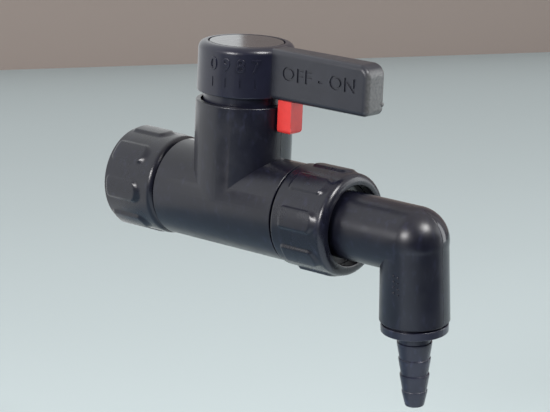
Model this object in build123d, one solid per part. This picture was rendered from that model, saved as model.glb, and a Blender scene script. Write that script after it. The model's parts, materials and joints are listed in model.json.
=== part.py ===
"""Quarter-turn drain tap with union nuts, swivel outlet elbow and stepped hose nozzle.

Millimetres. The origin is the centre of the inlet nut's mouth, +X follows the flow and +Z is up
the stem. Stations, shoulders, starts and ends are measured from the stem axis along X.
"""
import os
from math import atan2, cos, hypot, radians, sin, sqrt

from build123d import *

# Flow line and ball
FLOW_R = 6.5
BALL_R = 12.0
CHAMBER_PLAY = 0.6
SEAT_R = 10.6
SEAT_PLAY = 0.2
SEAT_STATION = 8.0
SEAT_DEPTH = 3.6
SEAT_STANDS_OUT = 1.2
BALL_PLAY = 0.04

# Housing
BARREL_R = 20.0
INLET_SHOULDER = 30.9
OUTLET_SHOULDER = 31.8
NECK_R = 19.9
NECK_WALL = 1.9
NECK_TOP = 41.7
NECK_FLOOR = 24.0
BOSS_R = 9.5
BOSS_TOP = 38.0
EDGE_BREAK = 0.6
RIM_BREAK = 0.25

# Union nuts
NUT_LENGTH = 26.7
NUT_WALL = 1.7
NUT_GAP = 0.5
THREAD_R = 17.5
THREAD_LENGTH = 15.0
THREAD_PLAY = 0.2
RELIEF_DEPTH = 1.5
LIP_LENGTH = 4.5
LIP_CATCH = 1.0
LIP_ROUND = 3.0
COLLAR_PLAY = 0.3
PAD_COUNT = 8
PAD_RISE = 1.0
PAD_ARC = 23.0
PAD_LENGTH = 17.6
PAD_CORNER = 3.2
PAD_ROUND = 0.45
PAD_FOOT = 0.4
INLET_PAD_START = 1.6
OUTLET_PAD_START = 4.8
INLET_PAD_TURN = -3.5
OUTLET_PAD_TURN = 9.0

# Flanged inlet tail and its seals
TAIL_R = 13.8
TAIL_PLAY = 0.2
TAIL_FLANGE = 4.0
TAIL_RING_DEPTH = 5.0
GASKET_THICK = 2.5
GASKET_BORE_R = 7.5

# Elbow and hose nozzle
SWIVEL = 5.0
LEG_STATION = 88.8
ELBOW_R = 13.6
ELBOW_BORE_R = 10.4
COLLAR_LENGTH = 4.4
LEG_DROP = 32.8
LEG_TOP_R = 13.4
LEG_END_R = 14.0
FLANGE_R = 13.4
FLANGE_GAP = 0.8
FLANGE_THICK = 3.3
PLUG_LENGTH = 12.0
NOZZLE_NECK_R = 6.5
NOZZLE_NECK = 4.4
BARB_PITCH = 6.8
BARB_CRESTS = (7.0, 6.4, 5.9, 5.1)
BARB_ROOTS = (6.1, 5.45, 4.9, 3.8)
BARB_LAND = 1.0
NOZZLE_BORE_R = 2.8

# Stem
STEM_R = 5.5
STEM_PLAY = 0.05
STEM_HEAD_R = 7.0
STEM_HEAD_Z = 12.8
STEM_HEAD_THICK = 2.2
THRUST_THICK = 1.2
SQUARE = 7.8
SQUARE_PLAY = 0.1
SQUARE_Z = 40.0
SQUARE_TOP = 56.0
TANG_WIDTH = 4.0
TANG_LENGTH = 9.0
TANG_DEPTH = 3.4

# Seal rings: section radius and the play left round each section
STEM_RING = 0.9
SMALL_RING = 0.8
FACE_RING = 1.0
RING_PLAY = 0.04

# Lever handle
HUB_R = 19.64
HUB_TOP_R = 19.5
HUB_BOTTOM = 45.4
HUB_TOP = 65.7
HUB_ROUND = 3.0
SKIRT_PLAY = 1.2
SKIRT_WALL = 2.2
SKIRT_BOTTOM = 34.0
SOCKET_R = 8.5
PLATE_THICK = 2.2
COUNTERBORE_R = 6.5
CAP_R = 15.2
CAP_GROOVE = 0.5
CAP_THICK = 3.0
LEVER_REACH = 66.6
LEVER_THICK = 11.8
LEVER_BOTTOM = 45.2
LEVER_WALL = 2.3
LEVER_ROUND = 2.3
LEVER_CORNER = 5.0
LEVER_FOOT = 2.6
LEVER_RIBS = 2
STOP_HALF_ARC = 14.0
STOP_BLOCK_ARC = 13.0
STOP_PLAY_ARC = 1.0
STOP_PLAY = 2.0
TURN = 90.0

# Lock latch
LATCH_START = 20.6
LATCH_LENGTH = 6.9
LATCH_WIDTH = 7.3
LATCH_BOTTOM = 31.7
LATCH_TOP = 55.3
LATCH_PLAY = 0.3
LATCH_TRAVEL = 4.0
LATCH_PIN_R = 1.25
LATCH_PIN_Z = 52.0
LATCH_ROUND = 1.6
SPRING_R = 2.3
SPRING_WIRE_R = 0.35
SPRING_TURNS = 4.0
SPRING_PEG_R = 1.5

# Handle screw
SCREW_R = 2.1
SCREW_HEAD_R = 4.4
SCREW_HEAD = 2.8
SCREW_GRIP = 10.0
WASHER_R = 5.4
WASHER_THICK = 1.0
DRIVE_ACROSS = 4.0

# Stations that follow from the sizes above
STEM_X = INLET_SHOULDER + NUT_GAP + NUT_LENGTH
SEAT_FLOOR = SEAT_STATION + SEAT_DEPTH
SEAT_BORE_R = FLOW_R + 0.7
SEAT_RING_R = (SEAT_BORE_R + SEAT_R) / 2
RELIEF_R = THREAD_R + RELIEF_DEPTH
NUT_R = RELIEF_R + NUT_WALL
PAD_R = NUT_R + PAD_RISE
PAD_END_R = NUT_R + PAD_RISE * 0.6
COLLAR_R = THREAD_R - COLLAR_PLAY
LIP_BORE_R = COLLAR_R - LIP_CATCH
NUT_MOUTH = OUTLET_SHOULDER + NUT_GAP
COLLAR_END = NUT_MOUTH + NUT_LENGTH - LIP_LENGTH - COLLAR_PLAY
COLLAR_START = COLLAR_END - COLLAR_LENGTH
SPIGOT_END = COLLAR_START - 0.2
FLANGE_START = INLET_SHOULDER + NUT_GAP + LIP_LENGTH + COLLAR_PLAY
FLANGE_END = FLANGE_START + TAIL_FLANGE
THRUST_TOP = STEM_HEAD_Z + STEM_HEAD_THICK + THRUST_THICK
NECK_INNER_R = NECK_R - NECK_WALL
SKIRT_R = NECK_INNER_R - SKIRT_PLAY
TAIL_RING_STATION = TAIL_RING_DEPTH - INLET_SHOULDER
PLATE_TOP = SQUARE_TOP + 0.2 + PLATE_THICK
CAP_FLOOR = HUB_TOP - CAP_THICK
FLANGE_TOP = LEG_DROP + FLANGE_GAP
FLANGE_BOTTOM = FLANGE_TOP + FLANGE_THICK
LATCH_MID = LATCH_START + LATCH_LENGTH / 2
POCKET_TOP = HUB_TOP - 3.4
RING_R = STEM_R + STEM_PLAY - STEM_RING - RING_PLAY


def rod_x(radius, start, end):
    """Round bar along X."""
    bar = Cylinder(radius, end - start, align=(Align.CENTER, Align.CENTER, Align.MIN))
    return Pos(X=start) * Rot(Y=90) * bar


def rod_z(radius, start, end):
    """Round bar along Z."""
    return Pos(Z=start) * Cylinder(radius, end - start, align=(Align.CENTER, Align.CENTER, Align.MIN))


def block(x0, x1, y0, y1, z0, z1):
    """Box between two corners."""
    return Pos(X=x0, Y=y0, Z=z0) * Box(x1 - x0, y1 - y0, z1 - z0, align=(Align.MIN, Align.MIN, Align.MIN))


def turned_x(*points):
    """Solid of revolution about X from (station, radius) points."""
    return revolve(make_face(Polyline(*points, close=True)), Axis.X)


def turned_z(*points):
    """Solid of revolution about Z from (radius, height) points."""
    return revolve(Plane.XZ * make_face(Polyline(*points, close=True)), Axis.Z)


def sector_z(inner, outer, z0, z1, middle, half_arc):
    """Part of a tube about Z, centred on the angle called middle."""
    reach = 2 * outer
    spokes = [radians(middle + turn) for turn in (-half_arc, 0, half_arc)]
    corners = [(reach * cos(spoke), reach * sin(spoke)) for spoke in spokes]
    wedge = make_face(Polyline((0, 0), *corners, close=True))
    tube = rod_z(outer, z0, z1) - rod_z(inner, z0, z1)
    return tube & (Pos(Z=z0) * extrude(wedge, z1 - z0))


def ring_x(station, radius, section):
    """Seal ring about X."""
    return Pos(X=station) * Rot(Y=90) * Torus(radius, section)


def ring_z(height, radius, section):
    """Seal ring about Z."""
    return Pos(Z=height) * Torus(radius, section)


def valve_body():
    """Tee-shaped housing: barrel, neck with stem boss, ball chamber and outlet spigot."""
    barrel = rod_x(BARREL_R, -INLET_SHOULDER, OUTLET_SHOULDER)
    barrel = chamfer(barrel.edges(), RIM_BREAK)
    neck = rod_z(NECK_R, 0, NECK_TOP)
    neck = fillet(neck.edges().group_by(Axis.Z)[-1], EDGE_BREAK)
    spigot = rod_x(THREAD_R - THREAD_PLAY, OUTLET_SHOULDER - 1, SPIGOT_END)
    spigot = chamfer(spigot.edges().group_by(Axis.X)[-1], EDGE_BREAK)
    housing = barrel + neck + spigot
    housing -= rod_z(NECK_INNER_R, NECK_FLOOR, NECK_TOP) - rod_z(BOSS_R, NECK_FLOOR, BOSS_TOP)
    housing += stop_blocks()
    housing -= rod_x(TAIL_R + TAIL_PLAY, -INLET_SHOULDER, -SEAT_STATION + 0.2)
    housing -= rod_x(BALL_R + CHAMBER_PLAY, -SEAT_STATION, SEAT_STATION)
    housing -= rod_x(SEAT_R + SEAT_PLAY, 0, SEAT_FLOOR)
    housing -= rod_x(FLOW_R, 0, SPIGOT_END)
    housing -= rod_z(STEM_HEAD_R + CHAMBER_PLAY, 0, THRUST_TOP)
    housing -= rod_z(STEM_R + STEM_PLAY, 0, BOSS_TOP)
    groove = 2 * FACE_RING
    seal_r = (FLOW_R + THREAD_R) / 2
    housing -= (rod_x(seal_r + FACE_RING + RING_PLAY, SPIGOT_END - groove, SPIGOT_END)
                - rod_x(seal_r - FACE_RING - RING_PLAY, SPIGOT_END - groove, SPIGOT_END))
    return housing


def stop_blocks():
    """Two blocks in the neck that end the lever's quarter turn."""
    offset = STOP_HALF_ARC + STOP_PLAY_ARC + STOP_BLOCK_ARC / 2
    blocks = []
    for middle in (180 - offset, 180 + TURN + offset):
        blocks.append(sector_z(SKIRT_R - SKIRT_WALL - STOP_PLAY, NECK_R - NECK_WALL / 2, NECK_FLOOR - 1,
                               SKIRT_BOTTOM - STOP_PLAY, middle, STOP_BLOCK_ARC / 2))
    return blocks


def inlet_tail():
    """Flanged bush screwed into the barrel: it carries the nut and holds the inlet seat."""
    tail = turned_x(
        (-FLANGE_END, FLOW_R), (-SEAT_FLOOR, FLOW_R),
        (-SEAT_FLOOR, SEAT_R + SEAT_PLAY), (-SEAT_STATION, SEAT_R + SEAT_PLAY),
        (-SEAT_STATION, TAIL_R), (-INLET_SHOULDER, TAIL_R),
        (-INLET_SHOULDER, LIP_BORE_R - COLLAR_PLAY), (-FLANGE_START, LIP_BORE_R - COLLAR_PLAY),
        (-FLANGE_START, COLLAR_R), (-FLANGE_END, COLLAR_R))
    half = SMALL_RING + 0.2
    depth = 2 * SMALL_RING + 2 * RING_PLAY - TAIL_PLAY
    groove = rod_x(TAIL_R + 1, TAIL_RING_STATION - half, TAIL_RING_STATION + half)
    return tail - (groove - rod_x(TAIL_R - depth, TAIL_RING_STATION - half, TAIL_RING_STATION + half))


def tail_o_ring():
    """Seal ring between tail and barrel."""
    radius = TAIL_R + TAIL_PLAY - SMALL_RING - RING_PLAY
    return ring_x(TAIL_RING_STATION, radius, SMALL_RING)


def inlet_gasket():
    """Flat ring that seals on the container's stub."""
    return (rod_x(COLLAR_R - 0.2, -FLANGE_END - GASKET_THICK, -FLANGE_END)
            - rod_x(GASKET_BORE_R, -FLANGE_END - GASKET_THICK, -FLANGE_END))


def ball_seat():
    """Outlet-side seat ring with a cupped face and a groove for its backing ring."""
    reach = BALL_R + BALL_PLAY
    front = SEAT_STATION - SEAT_STANDS_OUT
    start = (front, sqrt(reach ** 2 - front ** 2))
    end = (sqrt(reach ** 2 - SEAT_BORE_R ** 2), SEAT_BORE_R)
    turn = (atan2(start[1], start[0]) + atan2(end[1], end[0])) / 2
    cup = ThreePointArc(start, (reach * cos(turn), reach * sin(turn)), end)
    half = SMALL_RING + RING_PLAY
    groove = SEAT_FLOOR - 2 * half
    back = Polyline(
        end, (SEAT_FLOOR, SEAT_BORE_R),
        (SEAT_FLOOR, SEAT_RING_R - half), (groove, SEAT_RING_R - half),
        (groove, SEAT_RING_R + half), (SEAT_FLOOR, SEAT_RING_R + half),
        (SEAT_FLOOR, SEAT_R), (front, SEAT_R), start)
    return revolve(make_face(cup + back), Axis.X)


def seat_o_ring():
    """Backing ring behind the outlet-side seat."""
    return ring_x(SEAT_FLOOR - SMALL_RING - RING_PLAY, SEAT_RING_R, SMALL_RING)


def outlet_o_ring():
    """Face seal between spigot and elbow."""
    return ring_x(SPIGOT_END - FACE_RING + 0.06, (FLOW_R + THREAD_R) / 2, FACE_RING)


def ball():
    """Bored ball with a slot for the stem's tang."""
    solid = Sphere(BALL_R) - rod_x(FLOW_R, -BALL_R, BALL_R)
    half = TANG_WIDTH / 2
    return solid - block(-BALL_R, BALL_R, -half, half, BALL_R - TANG_DEPTH, BALL_R + 1)


def stem():
    """Stem with tang, thrust head, two ring grooves, square drive and a screw hole."""
    shaft = rod_z(STEM_HEAD_R, STEM_HEAD_Z, STEM_HEAD_Z + STEM_HEAD_THICK)
    shaft += rod_z(STEM_R, STEM_HEAD_Z, SQUARE_Z)
    square = block(-SQUARE / 2, SQUARE / 2, -SQUARE / 2, SQUARE / 2, SQUARE_Z - 1, SQUARE_TOP)
    shaft += chamfer(square.edges().group_by(Axis.Z)[-1], EDGE_BREAK)
    half = TANG_WIDTH / 2 - 0.05
    shaft += block(-TANG_LENGTH / 2, TANG_LENGTH / 2, -half, half,
                   BALL_R - TANG_DEPTH + 0.2, STEM_HEAD_Z)
    for height in stem_ring_heights():
        width = STEM_RING + 0.2
        shaft -= (rod_z(STEM_R + 1, height - width, height + width)
                  - rod_z(RING_R - STEM_RING - RING_PLAY, height - width, height + width))
    return shaft - rod_z(SCREW_R, SQUARE_TOP - SCREW_GRIP - 2, SQUARE_TOP)


def stem_ring_heights():
    """Heights of the two stem rings, spread over the guided length."""
    guided = BOSS_TOP - THRUST_TOP
    return (THRUST_TOP + guided * 0.3, THRUST_TOP + guided * 0.65)


def thrust_washer():
    """Slip washer between the stem's head and the housing."""
    return (rod_z(STEM_HEAD_R, THRUST_TOP - THRUST_THICK, THRUST_TOP - 0.05)
            - rod_z(STEM_R + 0.1, THRUST_TOP - THRUST_THICK, THRUST_TOP))


def lever_arm():
    """Solid arm with rounded end and top edges."""
    side = Polyline((0, LEVER_BOTTOM), (LEVER_REACH, LEVER_BOTTOM), (LEVER_REACH, HUB_TOP - 0.2),
                    (0, HUB_TOP - 0.2), close=True)
    outline = make_face(side)
    outline = fillet(outline.vertices().group_by(Axis.X)[-1].sort_by(Axis.Y)[-1], LEVER_CORNER)
    outline = fillet(outline.vertices().sort_by(Axis.Y).sort_by(lambda v: v.X - v.Y)[-1], LEVER_FOOT)
    arm = extrude(Plane.XZ * outline, LEVER_THICK / 2, both=True)
    edges = [e for e in arm.edges() if abs(abs(e.center().Y) - LEVER_THICK / 2) < 0.01
             and (e.center().Z > LEVER_BOTTOM + 0.1 or e.center().X > LEVER_REACH - LEVER_FOOT)
             and e.center().X > 1]
    return fillet(edges, LEVER_ROUND)


def lever_coring():
    """Hollows under the arm: the latch pocket and the cored bays between ribs."""
    half = LATCH_WIDTH / 2 + LATCH_PLAY
    hollows = [block(LATCH_START - LATCH_PLAY, LATCH_START + LATCH_LENGTH + LATCH_PLAY, -half, half,
                     LEVER_BOTTOM, POCKET_TOP)]
    first = LATCH_START + LATCH_LENGTH + LATCH_PLAY + LEVER_WALL
    last = LEVER_REACH - LEVER_WALL
    bay = (last - first - LEVER_RIBS * LEVER_WALL) / (LEVER_RIBS + 1)
    side = LEVER_THICK / 2 - LEVER_WALL
    for index in range(LEVER_RIBS + 1):
        start = first + index * (bay + LEVER_WALL)
        hollows.append(block(start, start + bay, -side, side, LEVER_BOTTOM, POCKET_TOP - 1))
    return hollows


def lever_handle():
    """Hub, skirt, socket and arm in one moulding."""
    shell = turned_z((0, HUB_BOTTOM), (HUB_R, HUB_BOTTOM), (HUB_TOP_R, HUB_TOP), (0, HUB_TOP))
    shell = fillet(shell.edges().filter_by(GeomType.CIRCLE).group_by(Axis.Z)[-1], HUB_ROUND)
    shell = fillet(shell.edges().filter_by(GeomType.CIRCLE).group_by(Axis.Z)[0], EDGE_BREAK)
    handle = shell + rod_z(SKIRT_R, SKIRT_BOTTOM, HUB_BOTTOM + 1) + lever_arm()
    handle -= rod_z(SKIRT_R - SKIRT_WALL, SKIRT_BOTTOM, PLATE_TOP - PLATE_THICK)
    handle += rod_z(SOCKET_R, SQUARE_Z, PLATE_TOP - 0.1)
    handle += hub_ribs()
    handle += sector_z(SKIRT_R - SKIRT_WALL, SKIRT_R, NECK_FLOOR + STOP_PLAY, SKIRT_BOTTOM + 1,
                       180, STOP_HALF_ARC)
    side = SQUARE / 2 + SQUARE_PLAY
    handle -= block(-side, side, -side, side, SQUARE_Z, SQUARE_TOP + 0.2)
    handle -= rod_z(CAP_R + CAP_GROOVE, CAP_FLOOR, HUB_TOP)
    handle -= rod_z(COUNTERBORE_R, PLATE_TOP, HUB_TOP)
    handle -= rod_z(SCREW_R + 0.5, SQUARE_Z, HUB_TOP)
    for hollow in lever_coring():
        handle -= hollow
    return handle - latch_pin_hole()


def hub_ribs():
    """Four webs that tie the socket to the skirt."""
    reach = SKIRT_R - SKIRT_WALL + 0.5
    webs = []
    for turn in (45, 135, 225, 315):
        web = block(SOCKET_R - 1, reach, -1, 1, SQUARE_Z + 2, PLATE_TOP - PLATE_THICK + 0.5)
        webs.append(Rot(Z=turn) * web)
    return webs


def latch_pin_rod(play):
    """Cross pin, blind on the near side of the lever."""
    length = LEVER_THICK - LEVER_WALL / 2 + 0.2
    rod = Cylinder(LATCH_PIN_R + play, length, align=(Align.CENTER, Align.CENTER, Align.MIN))
    return Pos(X=LATCH_MID, Y=LEVER_THICK / 2 - 0.2, Z=LATCH_PIN_Z) * Rot(X=90) * rod


def latch_pin_hole():
    """Hole for the cross pin, open on the far side of the lever."""
    hole = latch_pin_rod(0.02)
    return hole + Pos(Y=LEVER_WALL / 2) * hole


def lock_latch():
    """Spring-loaded block with a slot for its cross pin and a peg for its spring."""
    half = LATCH_WIDTH / 2
    bar = block(LATCH_START, LATCH_START + LATCH_LENGTH, -half, half, LATCH_BOTTOM, LATCH_TOP)
    foot = [e for e in bar.edges() if e.center().Z < LATCH_BOTTOM + 0.1
            and e.center().X > LATCH_START + 0.1]
    bar = fillet(foot, LATCH_ROUND)
    slot = SlotOverall(LATCH_TRAVEL + 2 * LATCH_PIN_R + 0.4, 2 * LATCH_PIN_R + 0.3, rotation=90)
    middle = LATCH_PIN_Z - LATCH_TRAVEL / 2
    window = extrude(Plane.XZ * Pos(X=LATCH_MID, Y=middle) * slot, LATCH_WIDTH, both=True)
    return bar - window + Pos(X=LATCH_MID) * rod_z(SPRING_PEG_R, LATCH_TOP, LATCH_TOP + 2)


def latch_pin():
    """Cross pin that keeps the latch in the lever and ends its travel."""
    return latch_pin_rod(0)


def latch_spring():
    """Compression spring between the latch and the pocket's roof."""
    bottom = LATCH_TOP + SPRING_WIRE_R + 0.05
    height = POCKET_TOP - SPRING_WIRE_R - 0.05 - bottom
    path = Helix(height / SPRING_TURNS, height, SPRING_R)
    profile = Plane(origin=path @ 0, z_dir=path % 0) * Circle(SPRING_WIRE_R)
    return Pos(X=LATCH_MID, Z=bottom) * sweep(profile, path=path)


def hub_cap():
    """Flush disc in the hub's top with a press-in ring below."""
    disc = rod_z(CAP_R, CAP_FLOOR + 0.1, HUB_TOP)
    disc = chamfer(disc.edges().group_by(Axis.Z)[-1], 0.3)
    ring = COUNTERBORE_R - 0.05
    disc += rod_z(ring, CAP_FLOOR - 2, CAP_FLOOR + 0.2)
    return disc - rod_z(ring - 1.2, CAP_FLOOR - 2, CAP_FLOOR + 0.1)


def screw_washer():
    """Plain washer under the handle screw."""
    return rod_z(WASHER_R, PLATE_TOP, PLATE_TOP + WASHER_THICK) - rod_z(SCREW_R + 0.3, 0, HUB_TOP)


def handle_screw():
    """Socket-head screw that clamps the handle to the stem."""
    seat = PLATE_TOP + WASHER_THICK
    screw = rod_z(SCREW_HEAD_R, seat, seat + SCREW_HEAD)
    screw = chamfer(screw.edges().group_by(Axis.Z)[-1], 0.4)
    screw += rod_z(SCREW_R - 0.05, SQUARE_TOP - SCREW_GRIP, seat + 0.5)
    drive = RegularPolygon(DRIVE_ACROSS / 2, 6, major_radius=False)
    return screw - Pos(Z=seat + SCREW_HEAD - 1.8) * extrude(drive, 3)


def nut_pad(start):
    """One raised grip pad with an arched end, on top of a nut that lies along X from its mouth at zero."""
    end = start + PAD_LENGTH
    knee = end - PAD_CORNER
    root = NUT_R - NUT_WALL / 2
    arch = TangentArc((knee, PAD_R), (end, PAD_END_R), tangent=(1, 0))
    sides = Polyline((end, PAD_END_R), (end, root), (start - 1, root), (start - 1, PAD_R), (knee, PAD_R))
    plan = RectangleRounded(PAD_LENGTH, 2 * PAD_R * sin(radians(PAD_ARC / 2)), PAD_CORNER)
    prism = Pos(X=start + PAD_LENGTH / 2) * extrude(plan, 2 * PAD_R)
    return revolve(make_face(arch + sides), Axis.X) & prism


def pad_edges(nut, start, low, high):
    """Edges along the pads whose ends lie between two radii, without the line where the arch begins."""
    knee = start + PAD_LENGTH - PAD_CORNER
    chosen = []
    for edge in nut.edges():
        radii = [hypot(v.Y, v.Z) for v in edge.vertices()]
        stations = [v.X for v in edge.vertices()]
        on_pad = start - 0.1 < min(stations) and max(stations) < start + PAD_LENGTH + 0.1
        on_knee = max(abs(station - knee) for station in stations) < 0.01
        if on_pad and not on_knee and low < min(radii) and max(radii) < high:
            chosen.append(edge)
    return chosen


def union_nut(pad_start, pad_turn):
    """Round nut with eight grip pads, lying along X from its mouth at zero."""
    lip = NUT_LENGTH - LIP_LENGTH
    nut = turned_x(
        (0, THREAD_R), (THREAD_LENGTH, THREAD_R),
        (THREAD_LENGTH, RELIEF_R), (lip, RELIEF_R), (lip, LIP_BORE_R),
        (NUT_LENGTH, LIP_BORE_R), (NUT_LENGTH, NUT_R), (0, NUT_R))
    rim = nut.edges().filter_by(GeomType.CIRCLE).group_by(Axis.X)[-1].sort_by(SortBy.RADIUS)
    nut = fillet(rim[-1], LIP_ROUND)
    rim = nut.edges().filter_by(GeomType.CIRCLE).group_by(Axis.X)[-1].sort_by(SortBy.RADIUS)
    nut = fillet(rim[0], EDGE_BREAK)
    rim = nut.edges().filter_by(GeomType.CIRCLE).group_by(Axis.X)[0].sort_by(SortBy.RADIUS)
    nut = fillet(rim[-1], EDGE_BREAK)
    pad = nut_pad(pad_start)
    step = 360 / PAD_COUNT
    for index in range(PAD_COUNT):
        nut += Rot(X=90 + pad_turn + index * step) * pad
    nut = fillet(pad_edges(nut, pad_start, NUT_R - 0.02, NUT_R + 0.02), PAD_FOOT)
    return fillet(pad_edges(nut, pad_start, PAD_END_R - 0.02, PAD_R + 0.02), PAD_ROUND)


def inlet_union_nut():
    """Nut that joins the tap to the container."""
    return Pos(X=-STEM_X) * union_nut(INLET_PAD_START, -INLET_PAD_TURN)


def outlet_union_nut():
    """Nut that clamps the elbow's collar to the spigot."""
    return Pos(X=NUT_MOUTH) * union_nut(OUTLET_PAD_START, -OUTLET_PAD_TURN)


def outlet_elbow():
    """Right-angle elbow with a collar, a ball-shaped outer bend and a tapered leg."""
    shape = rod_x(ELBOW_R, COLLAR_START, LEG_STATION) + rod_x(COLLAR_R, COLLAR_START, COLLAR_END)
    leg = turned_z((0, 0), (LEG_TOP_R, 0), (LEG_END_R, -LEG_DROP), (0, -LEG_DROP))
    leg = chamfer(leg.edges().filter_by(GeomType.CIRCLE).group_by(Axis.Z)[0], EDGE_BREAK)
    shape += Pos(X=LEG_STATION) * leg
    shape += Pos(X=LEG_STATION) * Sphere(ELBOW_R)
    shape -= rod_x(ELBOW_BORE_R, COLLAR_START, LEG_STATION)
    shape -= Pos(X=LEG_STATION) * rod_z(ELBOW_BORE_R, -LEG_DROP, 0)
    shape -= Pos(X=LEG_STATION) * Sphere(ELBOW_BORE_R)
    return swivelled(shape)


def swivelled(shape):
    """Turn a piece about the flow axis as the elbow stands in its union."""
    return Rot(X=SWIVEL) * shape


def hose_nozzle():
    """Stepped nozzle with four barbs, a flange and a plug that fits the elbow's leg."""
    plug_r = ELBOW_BORE_R - 0.1
    inner_r = NOZZLE_NECK_R - 1.8
    points = [(inner_r, -LEG_DROP + PLUG_LENGTH), (plug_r, -LEG_DROP + PLUG_LENGTH),
              (plug_r, -LEG_DROP - 0.02), (FLANGE_R - 1.2, -LEG_DROP - 0.02),
              (FLANGE_R - 1.2, -FLANGE_TOP), (FLANGE_R, -FLANGE_TOP), (FLANGE_R, -FLANGE_BOTTOM),
              (NOZZLE_NECK_R, -FLANGE_BOTTOM)]
    level = FLANGE_BOTTOM + NOZZLE_NECK
    points.append((NOZZLE_NECK_R, -level))
    for crest, root in zip(BARB_CRESTS, BARB_ROOTS):
        points.append((crest, -level - 0.3))
        points.append((crest, -level - BARB_LAND))
        points.append((root, -level - BARB_PITCH))
        level += BARB_PITCH
    points.append((NOZZLE_BORE_R, -level))
    points.append((NOZZLE_BORE_R, -level + BARB_PITCH))
    nozzle = turned_z(*points)
    tip = nozzle.edges().filter_by(GeomType.CIRCLE).group_by(Axis.Z)[0].sort_by(SortBy.RADIUS)
    nozzle = fillet(tip[-1], 0.6)
    flange = [e for e in nozzle.edges().filter_by(GeomType.CIRCLE) if e.radius > FLANGE_R - 0.01]
    nozzle = fillet(flange, 0.4)
    groove = nozzle_ring_height()
    depth = 2 * STEM_RING + 2 * RING_PLAY - 0.1
    nozzle -= (rod_z(plug_r + 1, groove - STEM_RING - 0.2, groove + STEM_RING + 0.2)
               - rod_z(plug_r - depth, groove - 2, groove + 2))
    return swivelled(Pos(X=LEG_STATION) * nozzle)


def nozzle_ring_height():
    """Height of the ring groove in the nozzle's plug."""
    return -LEG_DROP + PLUG_LENGTH / 2


def nozzle_o_ring():
    """Seal ring between nozzle and elbow."""
    ring = ring_z(nozzle_ring_height(), ELBOW_BORE_R - STEM_RING - RING_PLAY, STEM_RING)
    return swivelled(Pos(X=LEG_STATION) * ring)


def pieces():
    """Every named piece of the tap, in the frame of the stem axis."""
    lower, upper = stem_ring_heights()
    return {
        "valve_body": valve_body(),
        "inlet_tail": inlet_tail(),
        "tail_o_ring": tail_o_ring(),
        "inlet_gasket": inlet_gasket(),
        "inlet_seat": Rot(Z=180) * ball_seat(),
        "outlet_seat": ball_seat(),
        "inlet_seat_o_ring": Rot(Z=180) * seat_o_ring(),
        "outlet_seat_o_ring": seat_o_ring(),
        "outlet_o_ring": outlet_o_ring(),
        "ball": ball(),
        "stem": stem(),
        "thrust_washer": thrust_washer(),
        "stem_o_ring_lower": ring_z(lower, RING_R, STEM_RING),
        "stem_o_ring_upper": ring_z(upper, RING_R, STEM_RING),
        "lever_handle": lever_handle(),
        "hub_cap": hub_cap(),
        "handle_screw": handle_screw(),
        "screw_washer": screw_washer(),
        "lock_latch": lock_latch(),
        "latch_pin": latch_pin(),
        "latch_spring": latch_spring(),
        "inlet_union_nut": inlet_union_nut(),
        "outlet_union_nut": outlet_union_nut(),
        "outlet_elbow": outlet_elbow(),
        "hose_nozzle": hose_nozzle(),
        "nozzle_o_ring": nozzle_o_ring(),
    }


os.makedirs("parts", exist_ok=True)
for name, shape in pieces().items():
    export_step(Pos(X=STEM_X) * shape, f"parts/{name}.step")
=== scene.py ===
"""Dress the drain tap: black mouldings, red latch, lever with words and dial, seals and steel pieces."""

import json
from math import atan2, cos, hypot, pi, radians, sin

import bpy
from mathutils import Matrix, Vector

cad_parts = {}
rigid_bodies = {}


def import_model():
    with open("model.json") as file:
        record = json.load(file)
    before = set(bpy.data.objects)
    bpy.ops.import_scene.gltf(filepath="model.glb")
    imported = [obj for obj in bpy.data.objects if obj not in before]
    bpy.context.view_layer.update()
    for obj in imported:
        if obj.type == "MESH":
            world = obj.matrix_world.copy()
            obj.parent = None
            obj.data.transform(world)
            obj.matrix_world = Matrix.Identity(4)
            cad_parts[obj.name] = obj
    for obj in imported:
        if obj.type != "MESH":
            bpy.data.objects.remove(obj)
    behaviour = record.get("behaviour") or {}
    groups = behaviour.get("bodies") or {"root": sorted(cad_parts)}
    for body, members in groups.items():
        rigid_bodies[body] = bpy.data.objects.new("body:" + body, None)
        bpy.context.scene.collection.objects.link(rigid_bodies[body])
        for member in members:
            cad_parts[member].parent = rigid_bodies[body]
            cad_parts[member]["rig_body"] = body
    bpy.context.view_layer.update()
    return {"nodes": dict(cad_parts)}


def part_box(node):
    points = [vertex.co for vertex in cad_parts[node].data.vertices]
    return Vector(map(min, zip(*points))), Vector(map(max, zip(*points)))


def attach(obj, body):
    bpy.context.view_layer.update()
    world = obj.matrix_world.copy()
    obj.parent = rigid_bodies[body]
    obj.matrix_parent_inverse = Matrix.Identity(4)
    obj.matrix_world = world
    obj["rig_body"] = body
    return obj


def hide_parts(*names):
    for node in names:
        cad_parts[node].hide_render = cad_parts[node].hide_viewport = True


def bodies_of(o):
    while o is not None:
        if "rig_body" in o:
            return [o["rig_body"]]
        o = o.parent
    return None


bl_info = {
    "name": "Drain Tap",
    "version": (1, 0, 0),
    "blender": (4, 5, 0),
    "location": "View3D > Sidebar > Tap",
    "description": "Dresses a quarter-turn drain tap and sets its studio",
    "category": "Object",
}

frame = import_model()

MM = 0.001
MERGE_DISTANCE = 1e-6
CAD_MERGE_DISTANCE = 2e-6
SMOOTH_ANGLE = radians(30)
UPRIGHT = Matrix.Rotation(pi / 2, 4, "X")
ALONG_X = (1, 0, 0)

# Places on the CAD solids that the marks and finishes follow, in metres, and the outlet's swivel.
STEM_X = (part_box("hub_cap")[0].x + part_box("hub_cap")[1].x) / 2
HUB_R = 0.0196
ARM_START = (STEM_X + 0.0183, STEM_X + 0.0187)
ARM_FACE_Y = -0.0059
ARM_TIP_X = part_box("lever_handle")[1].x
BARREL_END_X = 0.0898
SWIVEL = radians(5)


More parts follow.
